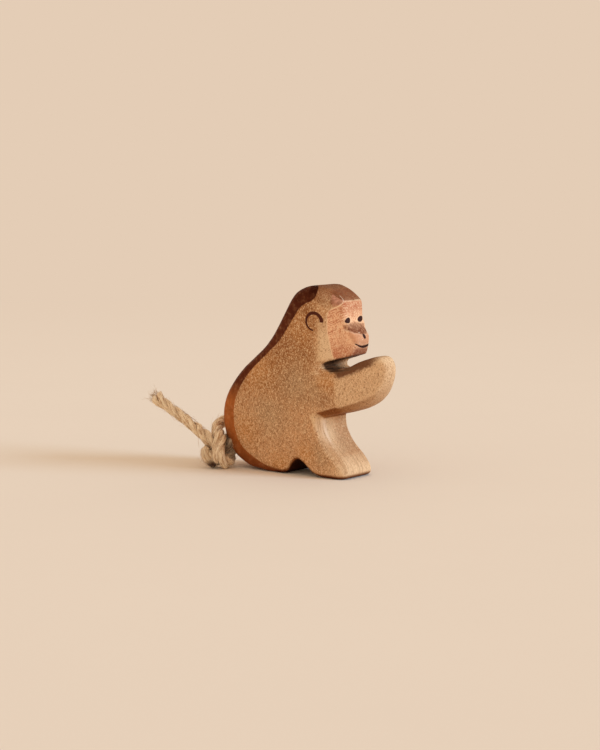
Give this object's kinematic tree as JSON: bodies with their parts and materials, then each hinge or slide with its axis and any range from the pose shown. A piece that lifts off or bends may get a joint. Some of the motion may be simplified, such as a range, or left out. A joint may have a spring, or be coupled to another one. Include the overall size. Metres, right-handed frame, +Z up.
{
  "type": "wooden baboon figure",
  "caption": "Small seated baboon, sawn from a wooden board and whittled by hand, arms held forward, with a knotted rope tail.",
  "frame": {"origin": "middle of the carved wood's outline box, on the surface that the figure stands on", "axes": "+X the way the face and the hand point, +Y the figure's left side, +Z up"},
  "size_m": [0.1168, 0.0326, 0.0788],
  "materials": {
    "stained_wood": "thin satin stain over knife-cut wood, with painted band, face, ears and eyes",
    "dried_glue": "dull, dried in place",
    "jute_rope": "three twisted strands, hairy, undyed"
  },
  "bodies": {
    "root": {"carved_figure": "stained_wood", "tail_glue": "dried_glue", "tail_rope_root": "jute_rope", "tail_knot": "jute_rope", "tail_rope_end": "jute_rope"}
  },
  "joints": []
}
